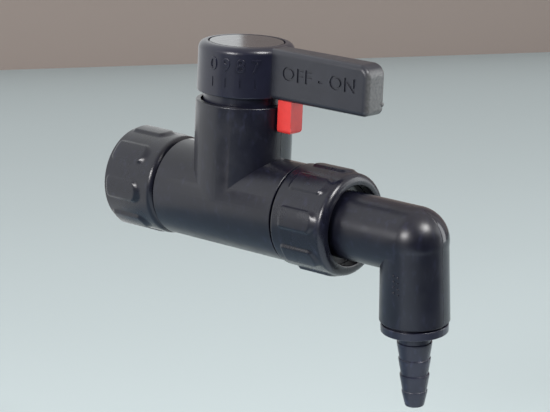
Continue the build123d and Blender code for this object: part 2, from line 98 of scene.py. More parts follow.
class TapFinish(bpy.types.PropertyGroup):
    """Colours and roughness of the tap's mouldings."""

    black: bpy.props.FloatVectorProperty(
        name="Black", description="Colour of the housing, nuts, outlet and hub",
        subtype="COLOR", size=3, default=(0.0050, 0.0054, 0.0115), min=0, max=1)
    lever: bpy.props.FloatVectorProperty(
        name="Lever", description="Colour of the finely grained lever arm",
        subtype="COLOR", size=3, default=(0.0170, 0.0182, 0.0260), min=0, max=1)
    red: bpy.props.FloatVectorProperty(
        name="Latch", description="Colour of the lock latch",
        subtype="COLOR", size=3, default=(0.72, 0.035, 0.03), min=0, max=1)
    roughness: bpy.props.FloatProperty(
        name="Roughness", description="Roughness of the satin black mouldings",
        subtype="FACTOR", default=0.32, min=0, max=1)


class TapMarks(bpy.types.PropertyGroup):
    """Words and sizes of the marks on the lever."""

    words: bpy.props.StringProperty(
        name="Lever words", description="Plain switch words cut into the lever", default="OFF - ON")
    cut: bpy.props.FloatProperty(
        name="Depth", description="Depth of the engraved words",
        default=0.0005, min=0, unit="LENGTH")
    digit_height: bpy.props.FloatProperty(
        name="Digit height", description="Height of the numbers on the hub's dial",
        default=0.0053, min=0, unit="LENGTH")
    digit_step: bpy.props.FloatProperty(
        name="Digit step", description="Angle between the numbers of the dial",
        default=radians(17.7), subtype="ANGLE")


class TapNuts(bpy.types.PropertyGroup):
    """Sizes of the soft grip pads and the thread of the union nuts."""

    rise: bpy.props.FloatProperty(
        name="Pad rise", description="Height of the grip pads", default=0.001, min=0, unit="LENGTH")
    half_width: bpy.props.FloatProperty(
        name="Pad half width", description="Half width of a pad at mid height",
        default=0.0043, min=0, unit="LENGTH")
    length: bpy.props.FloatProperty(
        name="Pad length", description="Length of a pad at mid height",
        default=0.0172, min=0, unit="LENGTH")
    slope: bpy.props.FloatProperty(
        name="Slope", description="Width of the slope round a pad",
        default=0.0016, min=0, unit="LENGTH")
    tail: bpy.props.FloatProperty(
        name="Tail slope", description="Length of the slope at a pad's end away from the nut's mouth",
        default=0.0042, min=0, unit="LENGTH")
    corner: bpy.props.FloatProperty(
        name="Corner", description="Corner radius of a pad's end nearest the nut's mouth",
        default=0.0014, min=0, unit="LENGTH")
    pitch: bpy.props.FloatProperty(
        name="Thread pitch", description="Pitch of the thread in the inlet nut",
        default=0.00231, min=0, unit="LENGTH")
    depth: bpy.props.FloatProperty(
        name="Thread depth", description="Depth of the thread in the inlet nut",
        default=0.0011, min=0, unit="LENGTH")


class TapStudio(bpy.types.PropertyGroup):
    """Floor, wall and camera."""

    floor: bpy.props.FloatVectorProperty(
        name="Floor", description="Colour of the pale floor",
        subtype="COLOR", size=3, default=(0.475, 0.548, 0.560), min=0, max=1)
    wall: bpy.props.FloatVectorProperty(
        name="Wall", description="Colour of the low wall behind the tap",
        subtype="COLOR", size=3, default=(0.350, 0.295, 0.265), min=0, max=1)
    floor_drop: bpy.props.FloatProperty(
        name="Floor drop", description="Height of the inlet above the floor",
        default=0.16, unit="LENGTH")
    focal: bpy.props.FloatProperty(
        name="Focal length", description="Camera focal length in millimetres",
        default=149.97, min=1, unit="CAMERA")


def activate(item):
    """Select one object alone and make it active."""
    bpy.ops.object.select_all(action="DESELECT")
    item.select_set(True)
    bpy.context.view_layer.objects.active = item


def edit(item):
    """Open one object in edit mode with everything selected."""
    activate(item)
    bpy.ops.object.mode_set(mode="EDIT")
    bpy.ops.mesh.select_all(action="SELECT")


def leave_edit():
    """Close edit mode."""
    bpy.ops.object.mode_set(mode="OBJECT")


def settle(item):
    """Put an object's place into its mesh."""
    activate(item)
    bpy.ops.object.transform_apply(location=True, rotation=True, scale=True)


def shade(item, angle=SMOOTH_ANGLE):
    """Shade an object smooth, except at edges sharper than an angle."""
    activate(item)
    bpy.ops.object.shade_smooth_by_angle(angle=angle)


def trim(item, place, way):
    """Cut off what lies beyond a plane and close the cut."""
    edit(item)
    bpy.ops.mesh.bisect(plane_co=place, plane_no=way, use_fill=True, clear_outer=True,
                        threshold=MERGE_DISTANCE)
    bpy.ops.mesh.select_all(action="SELECT")
    bpy.ops.mesh.normals_make_consistent(inside=False)
    leave_edit()


def joined(items):
    """Join separate objects into the first of them."""
    bpy.ops.object.select_all(action="DESELECT")
    for item in items:
        item.select_set(True)
    bpy.context.view_layer.objects.active = items[0]
    bpy.ops.object.join()
    return items[0]


def copy_of(item):
    """Copy of an object with its own mesh."""
    copy = item.copy()
    copy.data = item.data.copy()
    bpy.context.scene.collection.objects.link(copy)
    return copy


def body_of(node):
    """Name of the body that carries a node."""
    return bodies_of(frame["nodes"][node])[0]


def ride_on(item, node):
    """Let a piece move with the body of a node."""
    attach(item, body_of(node))
    return item


def moulded_copy(node, name):
    """Smooth copy of a node that stands for it."""
    copy = bpy.data.objects.new(name, frame["nodes"][node].data.copy())
    bpy.context.scene.collection.objects.link(copy)
    activate(copy)
    bpy.ops.mesh.customdata_custom_splitnormals_clear()
    edit(copy)
    bpy.ops.mesh.remove_doubles(threshold=CAD_MERGE_DISTANCE)
    leave_edit()
    shade(copy)
    ride_on(copy, node)
    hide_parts(node)
    return copy


def even_normals(item):
    """Weight the normals by face area so that flats stay flat beside rounded edges."""
    activate(item)
    weighted = item.modifiers.new("Even normals", "WEIGHTED_NORMAL")
    weighted.keep_sharp = True
    bpy.ops.object.modifier_apply(modifier=weighted.name)


def paint(item, material):
    """Give an object one material."""
    item.data.materials.clear()
    item.data.materials.append(material)


class Surface:
    """Small builder for a procedural material on object coordinates."""

    def __init__(self, name):
        self.material = bpy.data.materials.new(name)
        self.material.use_nodes = True
        self.tree = self.material.node_tree
        self.shader = self.tree.nodes["Principled BSDF"]
        self.place = self.tree.nodes.new("ShaderNodeTexCoord").outputs["Object"]

    def node(self, kind, **values):
        """New node with values on its inputs."""
        made = self.tree.nodes.new(kind)
        for key, value in values.items():
            made.inputs[key].default_value = value
        return made

    def link(self, start, end):
        """Link an output to an input."""
        self.tree.links.new(start, end)

    def noise(self, scale, detail=4.0, stretch=(1, 1, 1)):
        """Noise from 0 to 1."""
        mapping = self.node("ShaderNodeMapping", Scale=stretch)
        noise = self.node("ShaderNodeTexNoise", Scale=scale, Detail=detail)
        self.link(self.place, mapping.inputs["Vector"])
        self.link(mapping.outputs["Vector"], noise.inputs["Vector"])
        return noise.outputs["Fac"]

    def ramp(self, factor, low, high, start=0.3, end=0.7):
        """Colour that goes from low to high while the factor goes from start to end."""
        ramp = self.tree.nodes.new("ShaderNodeValToRGB")
        ramp.color_ramp.elements[0].position = start
        ramp.color_ramp.elements[1].position = end
        ramp.color_ramp.elements[0].color = (*low, 1)
        ramp.color_ramp.elements[1].color = (*high, 1)
        self.link(factor, ramp.inputs["Fac"])
        return ramp.outputs["Color"]

    def span(self, factor, low, high, start=0.3, end=0.7):
        """Number that goes from low to high while the factor goes from start to end."""
        span = self.node("ShaderNodeMapRange")
        span.inputs["From Min"].default_value = start
        span.inputs["From Max"].default_value = end
        span.inputs["To Min"].default_value = low
        span.inputs["To Max"].default_value = high
        self.link(factor, span.inputs["Value"])
        return span.outputs["Result"]

    def step(self, value, start, end):
        """Number that goes from 0 to 1 between start and end."""
        return self.span(value, 0, 1, start, end)

    def along(self, way):
        """Distance from the origin along a direction."""
        dot = self.tree.nodes.new("ShaderNodeVectorMath")
        dot.operation = "DOT_PRODUCT"
        self.link(self.place, dot.inputs[0])
        dot.inputs[1].default_value = way
        return dot.outputs["Value"]

    def ridge(self, value, half_width):
        """Number that is 1 where a value is 0 and falls to 0 on both sides."""
        far = self.tree.nodes.new("ShaderNodeMath")
        far.operation = "ABSOLUTE"
        self.link(value, far.inputs[0])
        return self.span(far.outputs["Value"], 1, 0, 0, half_width)

    def blend(self, factor, first, second):
        """Linked number that turns into a fixed one as the factor rises."""
        mix = self.tree.nodes.new("ShaderNodeMix")
        self.link(factor, mix.inputs["Factor"])
        self.link(first, mix.inputs["A"])
        mix.inputs["B"].default_value = second
        return mix.outputs["Result"]

    def blend_colour(self, factor, first, second):
        """Linked colour that turns into another as the factor rises."""
        mix = self.tree.nodes.new("ShaderNodeMix")
        mix.data_type = "RGBA"
        self.link(factor, mix.inputs[0])
        self.link(first, mix.inputs[6])
        self.link(second, mix.inputs[7])
        return mix.outputs[2]

    def bump(self, height, depth, strength):
        """Add fine relief on top of what the normal already has."""
        bump = self.node("ShaderNodeBump", Strength=strength, Distance=depth)
        self.link(height, bump.inputs["Height"])
        before = self.shader.inputs["Normal"]
        if before.is_linked:
            self.link(before.links[0].from_socket, bump.inputs["Normal"])
        self.link(bump.outputs["Normal"], before)


def scaled(colour, factor):
    """A colour made lighter or darker."""
    return tuple(channel * factor for channel in colour)


# Parting line of a moulding, in metres, and the roughness of the half beyond it.
PARTING_FADE = 0.00012
PARTING_HALF_WIDTH = 0.00022
PARTING_RISE = 0.00012
FAR_HALF_ROUGHNESS = 0.16

# Specular level of a moulding and of its end face in a gap, and the distance between the two.
PLAIN_SPECULAR = 0.5
SHADED_SPECULAR = 0.02
SHADE_FADE = 0.0001


def black_moulding(finish, name, across=None, gap=None, painted_lift=1.0, polish=0.0):
    """Satin black plastic with scuffs.

    Across is the direction over the mould's parting line, with a polished half beyond it. Gap is the X
    of a shaded end face. A factor above 1 lightens the black as painted light, and polish lowers the
    roughness.
    """
    skin = Surface(name)
    # A factor above 1 paints light into the black.
    black = scaled(finish.black, painted_lift)
    rough = finish.roughness - polish
    colour = skin.ramp(skin.noise(90), scaled(black, 0.85), scaled(black, 1.2))
    scuffed = skin.ramp(skin.noise(60), scaled(black, 2.2), scaled(black, 3.4))
    scuffs = skin.step(skin.noise(420, detail=9, stretch=(1, 1, 0.45)), 0.56, 0.80)
    skin.link(skin.blend_colour(scuffs, colour, scuffed), skin.shader.inputs["Base Color"])
    haze = skin.span(skin.noise(140, detail=6), rough - 0.04, rough + 0.07)
    skin.bump(skin.noise(260, detail=3), depth=0.00002, strength=0.4)
    skin.bump(skin.noise(2600, detail=2), depth=0.000006, strength=0.4)
    if across:
        beyond = skin.along(across)
        haze = skin.blend(skin.step(beyond, 0, PARTING_FADE), haze, FAR_HALF_ROUGHNESS)
        skin.bump(skin.ridge(beyond, PARTING_HALF_WIDTH), depth=PARTING_RISE, strength=1.0)
    if gap:
        shine = skin.span(skin.along(ALONG_X), PLAIN_SPECULAR, SHADED_SPECULAR, gap - SHADE_FADE, gap)
        skin.link(shine, skin.shader.inputs["Specular IOR Level"])
    skin.link(haze, skin.shader.inputs["Roughness"])
    return skin.material


# Roughness of the hub, and the stretch of X over which painted light turns the arm's end face pale grey.
HUB_ROUGHNESS = 0.30
PAINTED_LIGHT_END = (ARM_TIP_X - 0.0016, ARM_TIP_X - 0.0002)


def lever_moulding(finish):
    """Grained black plastic of the lever, smoother and darker on the hub, with painted light in pale grey
    on the arm's end face.
    """
    skin = Surface("Grained black moulding")
    along_arm = skin.along(ALONG_X)
    arm = skin.ramp(skin.noise(220, detail=6), scaled(finish.lever, 0.9), scaled(finish.lever, 1.12))
    hub = skin.ramp(skin.noise(90), scaled(finish.black, 1.5), scaled(finish.black, 2.1))
    colour = skin.blend_colour(skin.step(along_arm, *ARM_START), hub, arm)
    # Painted light: the arm's end face is painted pale grey for the light it catches.
    pale = skin.ramp(skin.noise(900, detail=8), (0.046, 0.046, 0.047), (0.105, 0.105, 0.106))
    colour = skin.blend_colour(skin.step(along_arm, *PAINTED_LIGHT_END), colour, pale)
    skin.link(colour, skin.shader.inputs["Base Color"])
    on_hub_side = skin.span(along_arm, 1, 0, *ARM_START)
    haze = skin.blend(on_hub_side, skin.span(skin.noise(300, detail=6), 0.32, 0.42), HUB_ROUGHNESS)
    skin.link(haze, skin.shader.inputs["Roughness"])
    skin.bump(skin.noise(1900, detail=2), depth=0.00004, strength=0.7)
    skin.bump(skin.noise(300, detail=3), depth=0.00003, strength=0.3)
    return skin.material


def polished_black(finish):
    """Polished face of the hub cap, finely brushed along Y."""
    skin = Surface("Polished black cap")
    colour = skin.ramp(skin.noise(60), finish.black, scaled(finish.black, 1.3))
    skin.link(colour, skin.shader.inputs["Base Color"])
    brushed = skin.noise(500, detail=8, stretch=(1, 0.1, 1))
    skin.link(skin.span(brushed, 0.14, 0.22), skin.shader.inputs["Roughness"])
    skin.shader.inputs["Specular IOR Level"].default_value = 0.75
    skin.bump(skin.noise(1500), depth=0.000006, strength=0.4)
    return skin.material


def red_moulding(finish):
    """Red plastic of the lock latch."""
    skin = Surface("Red latch moulding")
    colour = skin.ramp(skin.noise(350, detail=5), scaled(finish.red, 0.9), finish.red)
    skin.link(colour, skin.shader.inputs["Base Color"])
    skin.link(skin.span(skin.noise(400), 0.34, 0.46), skin.shader.inputs["Roughness"])
    skin.bump(skin.noise(1800, detail=3), depth=0.000015, strength=0.5)
    return skin.material


def plain_grain(name, low, high, rough, grain, metal=0.0):
    """Simple two-tone material with a fine grain, for the inner pieces."""
    skin = Surface(name)
    skin.shader.inputs["Metallic"].default_value = metal
    skin.link(skin.ramp(skin.noise(grain), low, high), skin.shader.inputs["Base Color"])
    skin.link(skin.span(skin.noise(grain * 2), rough, rough + 0.12), skin.shader.inputs["Roughness"])
    skin.bump(skin.noise(grain * 6), depth=0.00001, strength=0.5)
    return skin.material


# Height of a capital as a share of the text's size, and the spacing of the letters.
CAPITAL_SHARE = 0.70
LETTER_SPACING = 1.08


def mark_mesh(text, height, depth, turn, place, bold=0.0, edge=0.0):
    """Solid letters of a height, turned and placed; bold widens and edge rounds their strokes."""
    bpy.ops.object.select_all(action="DESELECT")
    bpy.ops.object.text_add()
    item = bpy.context.object
    item.data.body = text
    item.data.align_x = "CENTER"
    item.data.align_y = "CENTER"
    item.data.size = height / CAPITAL_SHARE
    item.data.extrude = depth
    item.data.space_character = LETTER_SPACING
    item.data.offset = bold
    item.data.bevel_depth = edge
    item.data.resolution_u = 4
    bpy.ops.object.convert(target="MESH")
    item.matrix_world = Matrix.Translation(place) @ turn
    settle(item)
    edit(item)
    bpy.ops.mesh.remove_doubles(threshold=MERGE_DISTANCE)
    bpy.ops.mesh.normals_make_consistent(inside=False)
    leave_edit()
    return item


def tick_mesh(width, height, depth, turn, place):
    """One upright stroke of the dial, for cutting."""
    bpy.ops.object.select_all(action="DESELECT")
    bpy.ops.mesh.primitive_cube_add(size=1)
    item = bpy.context.object
    size = Matrix.Diagonal((width, height, 2 * depth, 1))
    item.matrix_world = Matrix.Translation(place) @ turn @ size
    settle(item)
    edit(item)
    bpy.ops.mesh.bevel(offset=width * 0.2, segments=1, affect="EDGES")
    leave_edit()
    return item


def engrave(item, cutters):
    """Cut a list of solid marks out of a piece."""
    for cutter in cutters:
        activate(item)
        cut = item.modifiers.new("Engraving", "BOOLEAN")
        cut.operation = "DIFFERENCE"
        cut.solver = "EXACT"
        cut.object = cutter
        bpy.ops.object.modifier_apply(modifier=cut.name)
        bpy.data.objects.remove(cutter)


def standing(turn):
    """Turn that stands a flat piece upright and then turns it about Z."""
    return Matrix.Rotation(turn, 4, "Z") @ UPRIGHT


def hub_turn(angle):
    """Turn that stands a flat mark upright on the hub, facing outwards at an angle."""
    return standing(angle + pi / 2)


def on_hub(angle, height):
    """Point on the hub's side."""
    return Vector((STEM_X + HUB_R * cos(angle), HUB_R * sin(angle), height))


# Words, dial and sprue nub of the lever, in metres.
WORDS_PLACE = Vector((STEM_X + 0.0426, ARM_FACE_Y, 0.0565))
WORDS_HEIGHT = 0.0054
WORDS_WIDTH = 0.0366
WORDS_BOLD = 0.00015

DIAL_DIGITS = "0987"
DIAL_START = radians(-91.2)
DIGIT_Z = 0.0584
DIGIT_RISE = 0.00022
DIGIT_EDGE = 0.00009
STROKE_Z = 0.0515
STROKE_WIDTH = 0.0007
STROKE_HEIGHT = 0.0040
STROKE_DEPTH_SHARE = 0.6

NUB_R = 0.0009
NUB_FLATNESS = 0.45
NUB_Y = 0.0042
NUB_Z = 0.0494
NUB_RISE = 0.0003
NUB_FOOT = 0.0002


class TAP_OT_lever(bpy.types.Operator):
    """Dress the lever with engraved words and a numbered dial"""

    bl_idname = "object.tap_lever"
    bl_label = "Dress lever"

    def execute(self, context):
        marks = context.scene.tap_marks
        lever = moulded_copy("lever_handle", "lever")
        turns = [DIAL_START + marks.digit_step * step for step in range(len(DIAL_DIGITS))]
        engrave(lever, [self.words(marks), self.strokes(marks, turns)])
        shade(lever)
        even_normals(lever)
        grained = lever_moulding(context.scene.tap_finish)
        for piece in (lever, self.nub(), self.numbers(marks, turns)):
            paint(piece, grained)
        return {"FINISHED"}

    def nub(self):
        """Cut-off sprue on the arm's end face, with a flat end and its foot inside the arm."""
        bpy.ops.object.select_all(action="DESELECT")
        bpy.ops.mesh.primitive_uv_sphere_add(segments=20, ring_count=14, radius=NUB_R)
        nub = bpy.context.object
        nub.name = "sprue_nub"
        nub.scale.x = NUB_FLATNESS
        nub.location = (ARM_TIP_X, NUB_Y, NUB_Z)
        settle(nub)
        trim(nub, (ARM_TIP_X + NUB_RISE, 0, 0), (1, 0, 0))
        trim(nub, (ARM_TIP_X - NUB_FOOT, 0, 0), (-1, 0, 0))
        shade(nub)
        return ride_on(nub, "lever_handle")

    def words(self, marks):
        """Words on the near side of the arm, stretched to their width."""
        letters = mark_mesh(marks.words, WORDS_HEIGHT, marks.cut, UPRIGHT, WORDS_PLACE, bold=WORDS_BOLD)
        stretch = Matrix.Diagonal((WORDS_WIDTH / letters.dimensions.x, 1, 1, 1))
        letters.matrix_world = (Matrix.Translation(WORDS_PLACE) @ stretch
                                @ Matrix.Translation(-WORDS_PLACE))
        settle(letters)
        return letters

    def strokes(self, marks, turns):
        """Strokes of the dial round the hub, less deep than the words."""
        depth = marks.cut * STROKE_DEPTH_SHARE
        return joined([tick_mesh(STROKE_WIDTH, STROKE_HEIGHT, depth, hub_turn(turn), on_hub(turn, STROKE_Z))
                       for turn in turns])

    def numbers(self, marks, turns):
        """Raised numbers of the dial round the hub."""
        numbers = joined([mark_mesh(digit, marks.digit_height, DIGIT_RISE, hub_turn(turn),
                                    on_hub(turn, DIGIT_Z), edge=DIGIT_EDGE)
                          for digit, turn in zip(DIAL_DIGITS, turns)])
        numbers.name = "dial_numbers"
        shade(numbers)
        return ride_on(numbers, "lever_handle")


class TAP_OT_housing(bpy.types.Operator):
    """Dress the housing and its tail, with the parting line of the mould"""

    bl_idname = "object.tap_housing"
    bl_label = "Dress housing"

    def execute(self, context):
        finish = context.scene.tap_finish
        black = black_moulding(finish, "Housing black", across=(0, 1, 0), gap=BARREL_END_X)
        for node, name in (("valve_body", "housing"), ("inlet_tail", "tail")):
            piece = moulded_copy(node, name)
            even_normals(piece)
            paint(piece, black)
        return {"FINISHED"}


def ease(value):
    """Smooth step from 0 to 1."""
    value = min(1, max(0, value))
    return value * value * (3 - 2 * value)


def arc(station, radius, reach, start, end, count):
    """Points of a round corner in a half section, in millimetres."""
    turns = [radians(start + (end - start) * index / count) for index in range(count + 1)]
    return [(station + reach * cos(turn), radius + reach * sin(turn)) for turn in turns]


def line(start, end, radius, count):
    """Points along a straight line of a half section, in millimetres."""
    return [(start + (end - start) * index / count, radius) for index in range(count + 1)]


# Half section of a union nut, in millimetres from its mouth and its axis.
BORE_R = 17.5
BORE_LENGTH = 15
RELIEF_R = 19.0
LIP_R = 16.2
LIP_START = 22.2
LIP_EDGE = 0.6
OUTER_R = 20.7
SHOULDER = 3.0
NUT_LENGTH = 26.7
ARC_CLEARANCE = 0.3
SKIN_MARGIN = 0.1

# Pads round a nut, and the thread's run-out in metres.
PADS = 8
TAIL_CORNER_SHARE = 0.9
THREAD_FADE = 0.0012
THREAD_END = 0.0145
THREAD_FLANK = 1.25

# Node, piece, start of the pads in metres, turn of the pads in degrees, set-in and rounding of the
# mouth in millimetres.
NUTS = (
    ("inlet_union_nut", "inlet_nut", 0.0019, 3.5, 0, 0.6),
    ("outlet_union_nut", "outlet_nut", 0.0051, -9, 0.4, 1.0),
)


class TAP_OT_nuts(bpy.types.Operator):
    """Model the two union nuts with soft grip pads, and the thread of the inlet nut"""

    bl_idname = "object.tap_nuts"
    bl_label = "Model union nuts"

    def execute(self, context):
        sizes = context.scene.tap_nuts
        black = black_moulding(context.scene.tap_finish, "Nut black", polish=0.05)
        for node, name, start, turn, inset, edge in NUTS:
            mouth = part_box(node)[0].x
            nut = self.shell(name, mouth, inset, edge)
            self.pads(nut, mouth + start, radians(90 + turn), sizes)
            if name == "inlet_nut":
                self.thread(nut, mouth, sizes)
            shade(nut, radians(60))
            paint(nut, black)
            ride_on(nut, node)
            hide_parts(node)
        return {"FINISHED"}

    def shell(self, name, mouth, inset, edge):
        """Turned shell of a nut from its half section; the mouth is set in and its edge rounded."""
        back = NUT_LENGTH - SHOULDER
        front = inset + edge
        section = (line(inset, BORE_LENGTH, BORE_R, 60)
                   + [(BORE_LENGTH, RELIEF_R), (LIP_START, RELIEF_R), (LIP_START, LIP_R)]
                   + arc(NUT_LENGTH - LIP_EDGE, LIP_R + LIP_EDGE, LIP_EDGE, -90, 0, 4)
                   + arc(back, OUTER_R - SHOULDER, SHOULDER, 0, 90, 14)
                   + line(back - ARC_CLEARANCE, front + ARC_CLEARANCE, OUTER_R, 76)
                   + arc(front, OUTER_R - edge, edge, 90, 180, 6))
        bpy.ops.object.select_all(action="DESELECT")
        bpy.ops.mesh.primitive_circle_add(vertices=len(section))
        nut = bpy.context.object
        nut.name = name
        for vertex, (station, radius) in zip(nut.data.vertices, section):
            vertex.co = (mouth + station * MM, 0, radius * MM)
        edit(nut)
        bpy.ops.mesh.spin(steps=360, angle=2 * pi, center=(0, 0, 0), axis=(1, 0, 0))
        bpy.ops.mesh.select_all(action="SELECT")
        bpy.ops.mesh.remove_doubles(threshold=MERGE_DISTANCE)
        bpy.ops.mesh.normals_make_consistent(inside=False)
        leave_edit()
        return nut

    def swell(self, nut, name, weights, strength):
        """Move the weighted part of a nut's skin along its normals."""
        group = nut.vertex_groups.new(name=name)
        for index, weight in weights.items():
            group.add([index], weight, "REPLACE")
        activate(nut)
        swell = nut.modifiers.new(name, "DISPLACE")
        swell.vertex_group = name
        swell.strength = strength
        swell.mid_level = 0
        bpy.ops.object.modifier_apply(modifier=name)

    def pads(self, nut, start, turn, sizes):
        """Pads with soft slopes round the outside, softer still at their tails."""
        weights = {}
        half_step = pi / PADS
        for vertex in nut.data.vertices:
            x, y, z = vertex.co
            radius = hypot(y, z)
            station = x - start
            offset = abs((atan2(-y, z) - turn + half_step) % (2 * half_step) - half_step) * radius
            tail = ease(2 * station / sizes.length - 1)
            corner = sizes.corner + (sizes.half_width * TAIL_CORNER_SHARE - sizes.corner) * tail
            past = Vector((abs(station - sizes.length / 2) - sizes.length / 2 + corner,
                           offset - sizes.half_width + corner))
            outer = Vector((max(past.x, 0), max(past.y, 0)))
            beyond = outer.length + min(max(past), 0) - corner
            lengthwise = outer.x / outer.length if outer.length else float(past.x > past.y)
            slope = sizes.slope + (sizes.tail - sizes.slope) * tail * lengthwise ** 2
            weight = ease(0.5 - beyond / slope)
            if radius > (OUTER_R - SKIN_MARGIN) * MM and weight > 0:
                weights[vertex.index] = weight
        self.swell(nut, "Pads", weights, sizes.rise)

    def thread(self, nut, mouth, sizes):
        """Helical groove in the bore, fading out at both ends."""
        weights = {}
        for vertex in nut.data.vertices:
            x, y, z = vertex.co
            station = x - mouth
            phase = (station / sizes.pitch + atan2(y, z) / (2 * pi)) % 1
            fade = ease(station / THREAD_FADE) * ease((THREAD_END - station) / THREAD_FADE)
            weight = max(0, 1 - abs(2 * phase - 1) * THREAD_FLANK) * fade
            in_bore = hypot(y, z) < (BORE_R + SKIN_MARGIN) * MM
            if in_bore and station < (BORE_LENGTH - SKIN_MARGIN) * MM and weight > 0:
                weights[vertex.index] = weight
        self.swell(nut, "Thread", weights, -sizes.depth)


# Elbow leg at its top, its widening over its length, and its mould dots, in metres and degrees.
LEG_X = 0.1469
LEG_TOP_R = 0.0134
LEG_WIDENING = 0.0006
LEG_LENGTH = 0.0328
DOT_R = 0.00045
DOT_RISE = 0.00036
DOT_FOOT = 0.0002
DOT_ROWS = 4
DOT_COLUMNS = 2
DOT_DROP = 0.0108
DOT_ROW_STEP = 0.0023
DOT_COLUMN_DROP = 0.0006
DOT_COLUMN_TURN = 8


class TAP_OT_outlet(bpy.types.Operator):
    """Dress the elbow and the hose nozzle"""

    bl_idname = "object.tap_outlet"
    bl_label = "Dress outlet"

    def execute(self, context):
        finish = context.scene.tap_finish
        parting = (0, cos(SWIVEL), sin(SWIVEL))
        black = black_moulding(finish, "Outlet black", across=parting)
        # Painted light: the nozzle's black is lightened twofold.
        black_with_painted_light = black_moulding(finish, "Nozzle black", across=parting, painted_lift=2.0)
        for node, name, material in (("outlet_elbow", "elbow", black), ("hose_nozzle", "nozzle", black_with_painted_light)):
            piece = moulded_copy(node, name)
            even_normals(piece)
            paint(piece, material)
        paint(self.dots(), black)
        return {"FINISHED"}

    def dots(self):
        """Short rows of mould dots on the elbow's leg, swivelled with the elbow."""
        places = [self.on_leg(row, column) for row in range(DOT_ROWS) for column in range(DOT_COLUMNS)]
        first = self.dot()
        marks = [first] + [copy_of(first) for _ in places[1:]]
        for mark, place in zip(marks, places):
            mark.location = place
        dots = joined(marks)
        settle(dots)
        dots.name = "leg_dots"
        edit(dots)
        bpy.ops.transform.rotate(value=-SWIVEL, orient_axis="X", center_override=(0, 0, 0))
        leave_edit()
        return ride_on(dots, "outlet_elbow")

    def on_leg(self, row, column):
        """Place of a dot on the side of the upright leg."""
        drop = DOT_DROP + DOT_ROW_STEP * row + DOT_COLUMN_DROP * column
        turn = radians(-90 + DOT_COLUMN_TURN * column)
        radius = LEG_TOP_R + LEG_WIDENING * drop / LEG_LENGTH
        return LEG_X + radius * cos(turn), radius * sin(turn), -drop

    def dot(self):
        """One low round dot with a flat top."""
        bpy.ops.object.select_all(action="DESELECT")
        bpy.ops.mesh.primitive_uv_sphere_add(segments=12, ring_count=8, radius=DOT_R)
        dot = bpy.context.object
        trim(dot, (0, -DOT_RISE, 0), (0, -1, 0))
        trim(dot, (0, DOT_FOOT, 0), (0, 1, 0))
        shade(dot, radians(40))
        return dot


class TAP_OT_cap(bpy.types.Operator):
    """Dress the hub cap"""

    bl_idname = "object.tap_cap"
    bl_label = "Dress hub cap"

    def execute(self, context):
        cap = moulded_copy("hub_cap", "cap")
        even_normals(cap)
        paint(cap, polished_black(context.scene.tap_finish))
        return {"FINISHED"}


class TAP_OT_latch(bpy.types.Operator):
    """Dress the red lock latch"""

    bl_idname = "object.tap_latch"
    bl_label = "Dress lock latch"

    def execute(self, context):
        latch = moulded_copy("lock_latch", "latch")
        even_normals(latch)
        paint(latch, red_moulding(context.scene.tap_finish))
        return {"FINISHED"}


class TAP_OT_inside(bpy.types.Operator):
    """Dress the seals, seats and steel pieces inside"""

    bl_idname = "object.tap_inside"
    bl_label = "Dress inner pieces"

    def execute(self, context):
        rubber = plain_grain("Sealing rubber", (0.012,) * 3, (0.022,) * 3, 0.62, 500)
        white = plain_grain("White seat", (0.72, 0.72, 0.70), (0.80, 0.80, 0.78), 0.42, 300)
        grey = plain_grain("Grey valve plastic", (0.22, 0.23, 0.24), (0.28, 0.29, 0.30), 0.30, 200)
        steel = plain_grain("Stainless steel", (0.50, 0.50, 0.49), (0.62, 0.62, 0.61), 0.28, 900, 1.0)
        groups = {
            "tail_o_ring inlet_gasket inlet_seat_o_ring outlet_seat_o_ring outlet_o_ring "
            "stem_o_ring_lower stem_o_ring_upper nozzle_o_ring": rubber,
            "inlet_seat outlet_seat thrust_washer": white,
            "ball stem": grey,
            "handle_screw screw_washer latch_pin latch_spring": steel,
        }
        for names, material in groups.items():
            for name in names.split():
                paint(frame["nodes"][name], material)
        return {"FINISHED"}


# Low wall, lift of the lowest cards over the floor, and the point that the lights face, in metres.
WALL_TURN = standing(radians(62))
WALL_HEIGHT = 0.12
CARD_LIFT = 0.004
LIGHT_TARGET = Vector((STEM_X + 0.03, 0, 0.01))


